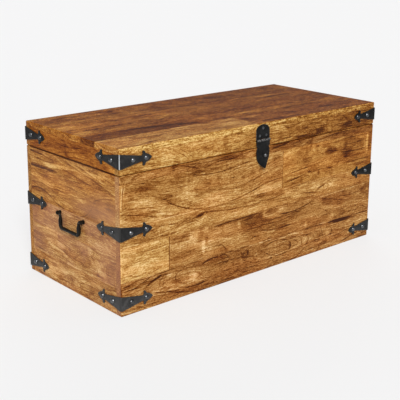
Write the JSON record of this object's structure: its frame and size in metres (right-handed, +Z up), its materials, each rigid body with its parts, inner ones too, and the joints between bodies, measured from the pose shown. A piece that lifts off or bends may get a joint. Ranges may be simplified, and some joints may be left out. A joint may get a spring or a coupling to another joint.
{
  "type": "blanket chest",
  "caption": "Lidded hardwood blanket chest with a rear-hinged lid, black iron corner straps, a front hasp flap and a swinging drop handle on each end.",
  "frame": {"origin": "centre of the chest's footprint, on the floor", "axes": "+X to the right along the front, the front with its hasp faces -Y, +Z up"},
  "size_m": [0.9256, 0.4234, 0.4],
  "materials": {
    "golden_wood": "satin lacquer, honey-coloured hardwood",
    "brown_wood": "satin lacquer, mid-brown hardwood",
    "dark_wood": "satin lacquer, dark streaked hardwood",
    "inner_wood": "plain, unfinished inside boards",
    "black_iron": "matt black wrought iron, slightly hammered",
    "iron_nail": "black domed iron nails, worn bright on top",
    "hinge_steel": "black finished steel hinge",
    "screw_steel": "dulled steel screws and nuts"
  },
  "bodies": {
    "chest_body": {"back_board_1": "brown_wood", "back_board_2": "brown_wood", "body_screws": "screw_steel", "body_strap_nails": "iron_nail", "bottom_cleats": "inner_wood", "bottom_corner_strap_back_left": "black_iron", "bottom_corner_strap_back_right": "black_iron", "bottom_corner_strap_front_left": "black_iron", "bottom_corner_strap_front_right": "black_iron", "bottom_panel": "inner_wood", "front_board_1": "golden_wood", "front_board_2_left": "golden_wood", "front_board_2_right": "brown_wood", "front_board_3": "brown_wood", "front_board_4_left": "dark_wood", "front_board_4_right": "brown_wood", "front_board_5": "golden_wood", "handle_eye_bolts": "black_iron", "handle_nuts": "screw_steel", "hasp_catch": "black_iron", "hinge_pins": "hinge_steel", "left_end_board_1": "brown_wood", "left_end_board_2": "brown_wood", "left_end_board_3": "brown_wood", "left_end_board_4": "brown_wood", "left_end_board_5": "brown_wood", "left_hinge_body_leaf": "hinge_steel", "middle_corner_strap_back_left": "black_iron", "middle_corner_strap_back_right": "black_iron", "middle_corner_strap_front_left": "black_iron", "middle_corner_strap_front_right": "black_iron", "right_end_board_1": "brown_wood", "right_end_board_2": "brown_wood", "right_end_board_3": "brown_wood", "right_hinge_body_leaf": "hinge_steel"},
    "lid": {"hasp_pin": "black_iron", "hasp_plate": "black_iron", "hasp_screws": "screw_steel", "left_hinge_lid_leaf": "hinge_steel", "lid_back_rail": "brown_wood", "lid_corner_strap_back_left": "black_iron", "lid_corner_strap_back_right": "black_iron", "lid_corner_strap_front_left": "black_iron", "lid_corner_strap_front_right": "black_iron", "lid_front_rail": "golden_wood", "lid_hinge_screws": "screw_steel", "lid_left_rail": "brown_wood", "lid_right_rail": "brown_wood", "lid_strap_nails": "iron_nail", "lid_top_board_1_left": "golden_wood", "lid_top_board_1_right": "brown_wood", "lid_top_board_2": "dark_wood", "lid_top_board_3": "brown_wood", "lid_top_board_4": "brown_wood", "lid_top_board_5": "brown_wood", "right_hinge_lid_leaf": "hinge_steel"},
    "flap": {"hasp_flap": "black_iron", "hasp_knob": "black_iron"},
    "left_bail": {"left_handle": "black_iron"},
    "right_bail": {"right_handle": "black_iron"}
  },
  "joints": [
    {"name": "lid_hinge", "type": "hinge", "parent": "chest_body", "child": "lid", "pos_m": [0, 0.198, 0.3372], "axis": [-1, 0, 0], "range_deg": [0, 97]},
    {"name": "hasp_swing", "type": "hinge", "parent": "lid", "child": "flap", "pos_m": [-0.002, -0.203, 0.356], "axis": [-1, 0, 0], "range_deg": [0, 140]},
    {"name": "left_handle_swing", "type": "hinge", "parent": "chest_body", "child": "left_bail", "pos_m": [-0.4575, -0.002, 0.1946], "axis": [0, 1, 0], "range_deg": [-4, 184]},
    {"name": "right_handle_swing", "type": "hinge", "parent": "chest_body", "child": "right_bail", "pos_m": [0.4575, -0.002, 0.1946], "axis": [0, -1, 0], "range_deg": [-4, 184]}
  ]
}
